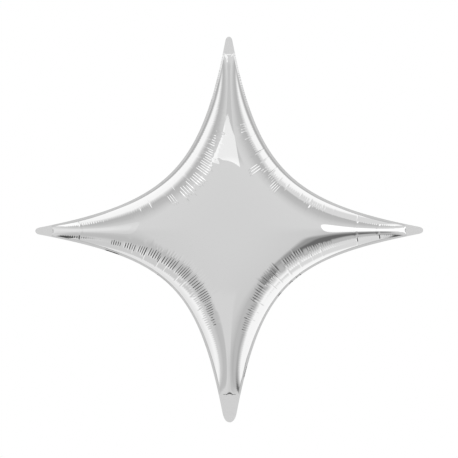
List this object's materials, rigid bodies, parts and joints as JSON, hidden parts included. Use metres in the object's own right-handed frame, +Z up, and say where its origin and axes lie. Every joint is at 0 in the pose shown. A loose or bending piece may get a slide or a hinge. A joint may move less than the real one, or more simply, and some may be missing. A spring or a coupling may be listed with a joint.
{
  "type": "star foil balloon",
  "caption": "Silver foil balloon shaped as a star with four long concave arms, gas filled, with a flat sealed border and a filling tail.",
  "frame": {"origin": "middle of the star, in the plane of the sealed border", "axes": "+Z up along the top arm, +X to the right as seen from the front, front face towards -Y"},
  "size_m": [0.98, 0.2782, 0.974],
  "materials": {
    "foil": "mirror bright metallised film, finely wrinkled along the border",
    "sealed_foil": "satin, heat sealed and lightly crimped",
    "valve_film": "clear to milky thin film"
  },
  "bodies": {
    "root": {"front_foil": "foil", "back_foil": "foil", "border_upper_right": "sealed_foil", "border_upper_left": "sealed_foil", "border_lower_left": "sealed_foil", "border_lower_right": "sealed_foil", "tip_top": "sealed_foil", "tip_right": "sealed_foil", "tip_left": "sealed_foil", "tail_front_leaf": "sealed_foil", "tail_back_leaf": "sealed_foil", "valve_film": "valve_film"}
  },
  "joints": []
}
